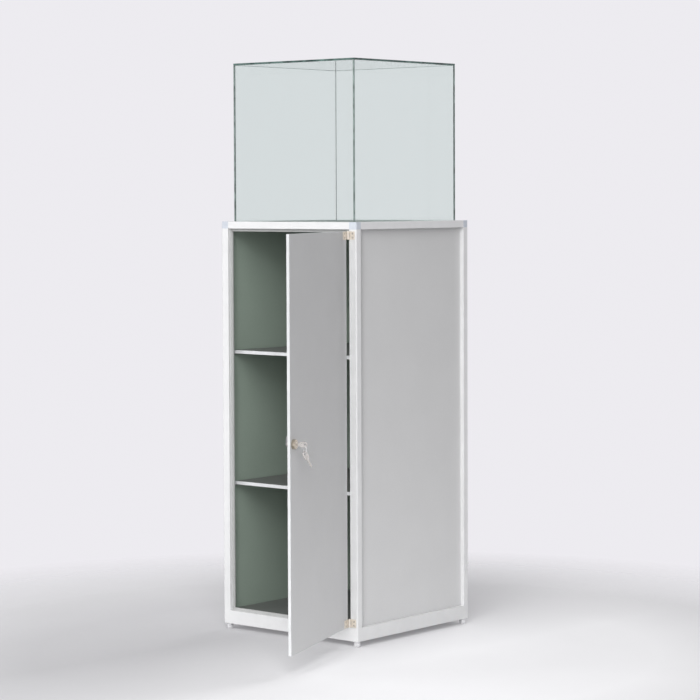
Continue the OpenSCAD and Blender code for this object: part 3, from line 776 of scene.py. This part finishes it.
def screw(radius, under, length, dome, countersunk=False):
    """A screw with its head's rim at z = 0 and its shank down -Z: the recessed top, the flank
    of the head down to under, and the thread, down to a blunt point at length."""
    a = directions(48)
    deep = min(radius * RECESS_DEEP, (under + dome) * RECESS_MOST)
    top = cross_head(radius, dome, deep, a)
    flank_r = np.array([radius, SHANK_R if countersunk else radius, SHANK_R])
    flank_z = np.array([-RIM_H, -under, -under])
    flank = round_points(flank_r[:, None], flank_z[:, None], a)
    z = np.linspace(-under - SHANK_GAP, -length, 40)[:, None]
    r = thread(SHANK_R, SCREW_THREAD, SCREW_PITCH, z, a)
    r[-len(POINT_SHARES):] *= POINT_SHARES
    points, faces = loops_solid(np.concatenate([top, flank, round_points(r, z, a)]))
    return points, faces[:-2]


def hinge_screw_rows(x, place):
    """Four countersunk screws of one side of the hinges, heads towards -Y on the shut door."""
    points, faces = screw(3.0, under=LEAF_T, length=6.5, dome=0.0, countersunk=True)
    made = []
    for base in (DOOR_LOW, DOOR_TOP - HINGE_H):
        for up in (SCREW_UP, HINGE_H - SCREW_UP):
            placed = np.stack([x + points[:, 0], -HALF - LEAF_T - points[:, 2],
                               base + up + points[:, 1]], 1)
            made.append((place(placed), faces))
    return made


def pin_solids():
    """Two turned pins, each with a domed head that stands on the top knuckle."""
    top = HINGE_H + PIN_HEAD_H
    line = rounded_line([[0, 0], [PIN_R, 0], [PIN_R, HINGE_H], [PIN_HEAD_R, HINGE_H],
                         [PIN_HEAD_R, top], [0, top]],
                        [0, 0.4, 0, 0.1, 0.7, 0], closed=False)
    points, faces = turned(line, 32)
    return [(points + PIN + [0, 0, base], faces) for base in (DOOR_LOW, DOOR_TOP - HINGE_H)]


def clip_screws():
    """Eight domed screws that hold the shelf clips to the posts' inner sides."""
    points, faces = screw(2.6, under=CLIP_HEAD_H, length=7.6, dome=0.7)
    made = []
    for where, sx, sy in CORNERS:
        for top in SHELF_TOPS:
            local = np.stack([CLIP_SCREW_X + points[:, 0],
                              POST_SIDE + CLIP_T + CLIP_HEAD_H + points[:, 2],
                              top - SHELF_T - CLIP_DROP + points[:, 1]], 1)
            made.append((upright(sx, sy)(local), faces))
    return made


add_piece("hinge_screws_post_side", hinge_screw_rows(PIN[0] + FRAME_SCREW_X, lambda p: p),
          "frame", [screw_nickel], ["hinge_screws_frame"])
add_piece("hinge_screws_door_side", hinge_screw_rows(PIN[0] - DOOR_SCREW_X, swung), "door",
          [screw_nickel], ["hinge_screws_door"])
add_piece("hinge_pins_turned", pin_solids(), "frame", [warm_nickel],
          ["hinge_pins"])
add_piece("shelf_clip_screws_domed", clip_screws(), "frame", [zinc_painted_shade],
          ["shelf_clip_screws"])


# ---------- lock ----------
LOCK_HEAD_R, LOCK_HEAD_H, LOCK_CHAMFER, LOCK_ROOT = 13.0, 10.0, 1.5, 0.5
LOCK_BORE, LOCK_STEP_OUT, LOCK_STEP_IN, LOCK_STEP_DEEP = PLUG_R + 0.05, 1.4, 1.2, 0.4
LOCK_THREAD_R, LOCK_THREAD, LOCK_PITCH, LOCK_BACK, LOCK_LAP = 8.0, 0.25, 1.0, 13.0, 0.4
KEYWAY, KEYWAY_MOUTH, KEYWAY_DEEP, TAIL_HALF = (1.1, 3.2), (1.35, 3.45), 18.0, 2.9
PLUG_EASE, PLUG_GROOVE, PLUG_GROOVE_DEEP, END_SHARE = 0.3, (4.9, 5.0, 5.1), 0.12, 0.01
NUT_R, NUT_T = 11.5, 3.5
NUT_STEPS = ((8.4, 0.0), (10.2, 0.0), (11.0, 0.45), (11.6, 0.8))
NUT_BORE, NUT_BORE_EASE = 8.05, 0.3
CAM_SCREW_OUT = 1.75


def lock_barrel():
    """The lock's body: a turned ring with a chamfered head, a shallow step round the plug, and
    a threaded barrel whose radius waves by one pitch a turn."""
    bore, step = LOCK_BORE, LOCK_HEAD_H - LOCK_STEP_DEEP
    head = rounded_line([[bore, -LOCK_ROOT], [LOCK_THREAD_R, -LOCK_ROOT], [LOCK_THREAD_R, 0],
                         [LOCK_HEAD_R, 0], [LOCK_HEAD_R, LOCK_HEAD_H - LOCK_CHAMFER],
                         [LOCK_HEAD_R - LOCK_CHAMFER, LOCK_HEAD_H],
                         [bore + LOCK_STEP_OUT, LOCK_HEAD_H], [bore + LOCK_STEP_IN, step],
                         [bore, step]],
                        [0, 0, 0, 0.3, 0.5, 0.5, 0.2, 0.1, 0.15], steps=4)
    a = directions(48)
    z = np.linspace(-LOCK_BACK, -LOCK_LAP, 110)[:, None]
    outer = round_points(thread(LOCK_THREAD_R, LOCK_THREAD, LOCK_PITCH, z, a), z, a)
    inner = round_points(bore, np.array([[-LOCK_LAP], [-LOCK_BACK]]), a)
    barrel = loops_solid(np.concatenate([outer, inner]), ring=True)
    return [moved(turned(head, 64, ring=True), in_lock), moved(barrel, in_lock)]


def slot_radius(a, half_w, half_h):
    """Distance from the centre to a rectangle's side in the direction a."""
    return np.minimum(half_w / np.maximum(abs(np.cos(a)), 1e-6),
                      half_h / np.maximum(abs(np.sin(a)), 1e-6))


def lock_plug_solid():
    """The plug over (a, step): the keyway's floor, its walls, its eased mouth, the front face
    with one fine turned groove, and the round side down to the square tail. The floor and the
    tail's end close on a loop of a small share of their size."""
    a = directions(96)
    slot, mouth = slot_radius(a, *KEYWAY), slot_radius(a, *KEYWAY_MOUTH)
    tail = slot_radius(a, TAIL_HALF, TAIL_HALF)
    front, back, end = PLUG_FRONT, -PLUG_BACK, -PLUG_BACK - CAM_T
    floor = front - KEYWAY_DEEP
    inner, middle, outer = PLUG_GROOVE
    steps = [(END_SHARE * slot, floor), (slot, floor), (slot, front - PLUG_EASE), (mouth, front),
             (inner, front), (middle, front - PLUG_GROOVE_DEEP), (outer, front),
             (PLUG_R - PLUG_EASE, front), (PLUG_R, front - PLUG_EASE),
             (PLUG_R, back + PLUG_EASE), (PLUG_R - PLUG_EASE, back),
             (tail, back), (tail, end), (END_SHARE * tail, end)]
    return [moved(stepped(steps, a), in_lock)]


def lock_nut_solid():
    """The six-sided nut: in the direction a its radius is the hexagon's, held under a circle
    that grows from each face, which cuts the chamfers."""
    a = directions(96)
    sixth = math.pi / 6
    hexagon = NUT_R * math.cos(sixth) / np.cos((a + sixth) % (math.pi / 3) - sixth)
    low, high = -DOOR_T - NUT_T, -DOOR_T
    steps = ([(np.minimum(hexagon, r), low + up) for r, up in NUT_STEPS]
             + [(np.minimum(hexagon, r), high - up) for r, up in NUT_STEPS[::-1]]
             + [(NUT_BORE, high - NUT_BORE_EASE), (NUT_BORE, low + NUT_BORE_EASE)])
    return [moved(stepped(steps, a, ring=True), in_lock)]


def cam_screw_solid():
    """The screw that holds the cam on the plug's tail, its head towards the cabinet."""
    points, faces = screw(4.5, under=2.0, length=7.4, dome=0.25)
    points = points * [1, -1, -1] + [0, 0, -PLUG_BACK - CAM_T - CAM_SCREW_OUT]
    return [(in_lock(points), faces)]


add_piece("lock_barrel", lock_barrel(), "door", [lock_nickel], ["lock_body"])
add_piece("lock_plug_turned", lock_plug_solid(), "lock", [plug_brass_painted_highlight],
          ["lock_plug"])
add_piece("lock_nut_chamfered", lock_nut_solid(), "door", [zinc_painted_shade], ["lock_nut"])
add_piece("lock_cam_screw_domed", cam_screw_solid(), "lock", [zinc_painted_shade],
          ["lock_cam_screw"])


# ---------- keys and their ring ----------
BOW_BACK, BOW_AHEAD, BOW_RIM, BOW_DISH = 23.0, 32.5, 1.0, 0.75
HOLE_EASE, RIM_EASE = 0.15, 0.35
BLADE_TIP, BLADE_END, BLADE_HALF_T, BLADE_HALF_W = -6.0, 24.5, 0.95, 3.0
TIP_START, TIP_RISE, TIP_FALL, SHOULDER, SHOULDER_STEP = -4.0, 1.3, 0.35, 17.0, 0.25
CUT_AT, CUT_DEEP = np.array([-1.0, 2.4, 5.8, 9.2, 12.6]), np.array([1.3, 0.6, 1.6, 0.9, 1.2])
CUT_HALF, CUT_SLOPE = 0.5, 1.2
MILL_DEEP, MILL_FROM, MILL_TO = 0.45, -5.4, 19.0
RING_TURNS, RING_START, CLIMB_START, CLIMB_SHARE = 2, 0.7, 0.44, 0.12


def key_bow():
    """A key's bow over (a, step), round its hole: the hole's wall, the pressed middle 0.25 mm
    below the rim, the rim, and the eased outer edge. In the direction a the outer edge is a
    stadium of radius KEY_BOW_R whose straight sides run along the key."""
    a = directions(72)
    y, z = np.cos(a), np.sin(a)
    to_side = KEY_BOW_R / np.maximum(abs(y), 1e-6)
    end = np.where(z > -1e-9, BOW_AHEAD, BOW_BACK) - KEY_HOLE_AT
    b = end * z
    to_arc = b + np.sqrt(np.maximum(b ** 2 - end ** 2 + KEY_BOW_R ** 2, 0))
    reach = KEY_HOLE_AT + to_side * z
    edge = np.where((reach < BOW_AHEAD) & (reach > BOW_BACK), to_side, to_arc)
    rim, dish = BOW_RIM, BOW_DISH
    half = [(KEY_HOLE_R, dish - HOLE_EASE), (KEY_HOLE_R + HOLE_EASE, dish),
            (np.minimum(edge - 1.6, 0.86 * edge), dish), (np.minimum(edge - 1.3, 0.9 * edge), rim),
            (edge - RIM_EASE, rim), (edge - 0.1, rim - 0.12), (edge, rim - RIM_EASE)]
    steps = half + [(r, -x) for r, x in half[::-1]]
    loops = [np.stack([x + 0 * a, r * y, KEY_HOLE_AT + r * z], -1) for r, x in steps]
    return loops_solid(np.array(loops), ring=True)


def key_blade():
    """A key's blade over (length, section): its lower edge carries five cuts, flat-bottomed
    with sloping flanks, its tip is pointed, and each side has a milled groove. A section's
    points go up one side, each at a share of the height there, and down the other."""
    z = np.linspace(BLADE_TIP, BLADE_END, 123)
    beyond = np.maximum(abs(z[:, None] - CUT_AT) - CUT_HALF, 0)
    cut = np.max(np.clip(CUT_DEEP - beyond * CUT_SLOPE, 0, None), axis=1)
    tip = np.clip(TIP_START - z, 0, None)
    low = -BLADE_HALF_W + cut + tip * TIP_RISE
    top = BLADE_HALF_W - TIP_FALL * tip - SHOULDER_STEP * (z < SHOULDER)
    milled = MILL_DEEP * ((z > MILL_FROM) & (z < MILL_TO))
    side = [np.stack([BLADE_HALF_T - deep, low + (top - low) * share, z], -1)
            for share, deep in ((0.0, 0 * z), (0.3, 0 * z), (0.34, milled), (0.6, milled),
                                (0.64, 0 * z), (1.0, 0 * z))]
    return loops_solid(np.stack(side + [points * [-1, 1, 1] for points in side[::-1]], 1))


def split_ring():
    """The ring: a wire of two turns. Its centre goes round a circle while it climbs by one
    wire, with most of the climb in the middle of the run, as in a real split ring."""
    t = np.linspace(0, 1, 161)
    a = 2 * RING_TURNS * math.pi * t + RING_START
    wire = RING_WIRE / 2
    climb = wire * np.clip((t - CLIMB_START) / CLIMB_SHARE, 0, 1)
    climb = climb * climb * (3 * wire - 2 * climb) / wire ** 2
    return tube(round_points(RING_R, 2 * climb - wire, a), wire)


for name, node, body, place in (("key_cut", "key", "key", in_lock),
                                ("spare_key_cut", "spare_key", "spare_key", hanging)):
    add_piece(name, [moved(key_bow(), place), moved(key_blade(), place)], body,
              [key_nickel], [node])
add_piece("split_ring", [moved(split_ring(), in_ring)], "key_ring",
          [ring_nickel_painted_glint], ["key_ring"])


# ---------- floor, light and camera, in metres and watts ----------
BACK_WHITE = (0.847, 0.834, 0.871)
FLOOR_REACH, FLOOR_GLOW, FLOOR_LOOPS, FLOOR_SPOKES, FLOOR_SPREAD = 3.0, 0.25, 12, 64, 1.5
FLOOR_PALER_WAY, FLOOR_MIDDLE = (0.99, -0.09, 0), (0.25, -0.3, 0)
LAMP_SIDE, LAMP_TARGET = 5.0, np.array([0.0, 0.0, 0.7])
LAMPS = (("soft_box_left", (-5.95, -4.99, 2.64), 335),
         ("soft_box_right", (4.60, -6.33, 2.36), 410),
         ("soft_box_front", (2.88, -5.41, 5.84), 460),
         ("soft_box_behind", (0.00, 6.13, 5.84), 360))
PHOTO_PIXELS, FOCAL_PIXELS, SENSOR_MM = 700.0, 2452.733, 36.0
CAMERA_AT, CAMERA_SHIFT = (4.533197, -5.364989, 1.245764), -0.05
YAW, TIP, ROLL = math.radians(40.092), math.radians(90 - 2.842), math.radians(-0.231)


def floor_material():
    """Pale studio floor with faint scuffs and painted shade that makes it darker towards one side
    and in a ring further out. It shows a share of the backdrop's own white and fades into it far
    out."""
    made = Finish("studio_floor", (0.62, 0.62, 0.63), roughness=0.7, specular=0.1)
    where = made.place()
    scuffs = made.spread(made.noise(where, scale=3, detail=5.0), 0, 1)
    # shade and far are painted shade: the floor darker towards one side and in a ring further out
    shade = made.blend(scuffs, (0.47, 0.47, 0.48), (0.49, 0.49, 0.5))
    pale = made.blend(scuffs, (0.83, 0.83, 0.84), (0.85, 0.85, 0.86))
    far = made.blend(scuffs, (0.6, 0.6, 0.61), (0.62, 0.62, 0.63))
    made.rough(made.spread(made.noise(where, scale=60), 0.6, 0.75))
    across = made.vector_maths("DOT_PRODUCT", where, FLOOR_PALER_WAY)
    near = made.blend(made.spread(across, 0, 1, start=-0.1, end=0.5), shade, pale)
    offset = made.vector_maths("SUBTRACT", where, FLOOR_MIDDLE, result="Vector")
    distance = made.vector_maths("LENGTH", offset)
    made.colour(made.blend(made.spread(distance, 0, 1, start=0.85, end=1.25), near, far))
    share = made.maths("MULTIPLY", made.seen_rays(), FLOOR_GLOW)
    glow = made.node("ShaderNodeEmission", {"Color": BACK_WHITE}).outputs["Emission"]
    clear = made.node("ShaderNodeBsdfTransparent").outputs["BSDF"]
    made.cover((share, glow), (made.spread(distance, 0, 1, start=1.2, end=1.9), clear))
    return made.material


def add_floor():
    """A round floor over (r, a), whose loops lie at powers of even steps, so that it is finer
    near the object. Its faces point upwards."""
    r = FLOOR_REACH * np.linspace(0, 1, FLOOR_LOOPS)[1:, None] ** FLOOR_SPREAD
    loops = round_points(r, 0.0, directions(FLOOR_SPOKES))
    faces = quads(len(r), FLOOR_SPOKES, wrap_v=True).tolist() + [list(range(FLOOR_SPOKES))]
    mesh = bpy.data.meshes.new("floor")
    mesh.from_pydata(loops.reshape(-1, 3).tolist(), [], faces)
    mesh.materials.append(floor_material())
    floor = bpy.data.objects.new("floor", mesh)
    bpy.context.scene.collection.objects.link(floor)


def add_world():
    """A world that shows the backdrop's white to the camera, mirrors and glass, and is dark
    for the rays that carry light, so that the lamps alone light the object."""
    world = bpy.data.worlds.new("studio")
    bpy.context.scene.world = world
    made = Nodes(world)
    white = made.node("ShaderNodeBackground", {"Color": BACK_WHITE}).outputs[0]
    dark = made.node("ShaderNodeBackground", {"Strength": 0.0}).outputs[0]
    mixed = made.node("ShaderNodeMixShader", {"Fac": made.seen_rays(), 1: dark, 2: white})
    made.node("ShaderNodeOutputWorld", {"Surface": mixed.outputs[0]})


def add_lamp(name, place, power):
    """A square soft box that lights from place towards the target, and doesn't show to the
    camera or in mirrors and glass."""
    lamp = bpy.data.lights.new(name, "AREA")
    lamp.shape = "RECTANGLE"
    lamp.size = lamp.size_y = LAMP_SIDE
    lamp.energy = power
    holder = bpy.data.objects.new(name, lamp)
    bpy.context.scene.collection.objects.link(holder)
    way = LAMP_TARGET - place
    back = -way / np.linalg.norm(way)
    right = np.cross([0.0, 0.0, 1.0], back)
    right /= np.linalg.norm(right)
    matrix = np.eye(4)
    matrix[:3] = np.column_stack([right, np.cross(back, right), back, place])
    holder.matrix_world = Matrix(matrix.tolist())
    holder.visible_camera = False
    holder.visible_glossy = False
    holder.visible_transmission = False


def add_camera():
    """A long lens at 1.25 m, turned 40 degrees to the right front corner and tipped down."""
    lens = bpy.data.cameras.new("camera")
    lens.sensor_width = SENSOR_MM
    lens.lens = FOCAL_PIXELS * SENSOR_MM / PHOTO_PIXELS
    lens.shift_y = CAMERA_SHIFT
    lens.clip_start, lens.clip_end = 0.1, 50.0
    holder = bpy.data.objects.new("camera", lens)
    bpy.context.scene.collection.objects.link(holder)
    holder.matrix_world = (Matrix.Translation(CAMERA_AT) @ Matrix.Rotation(YAW, 4, "Z")
                           @ Matrix.Rotation(TIP, 4, "X") @ Matrix.Rotation(ROLL, 4, "Z"))
    bpy.context.scene.camera = holder


add_floor()
add_world()
for lamp_name, lamp_place, watts in LAMPS:
    add_lamp(lamp_name, lamp_place, watts)
add_camera()
bpy.context.scene.view_settings.view_transform = "Standard"
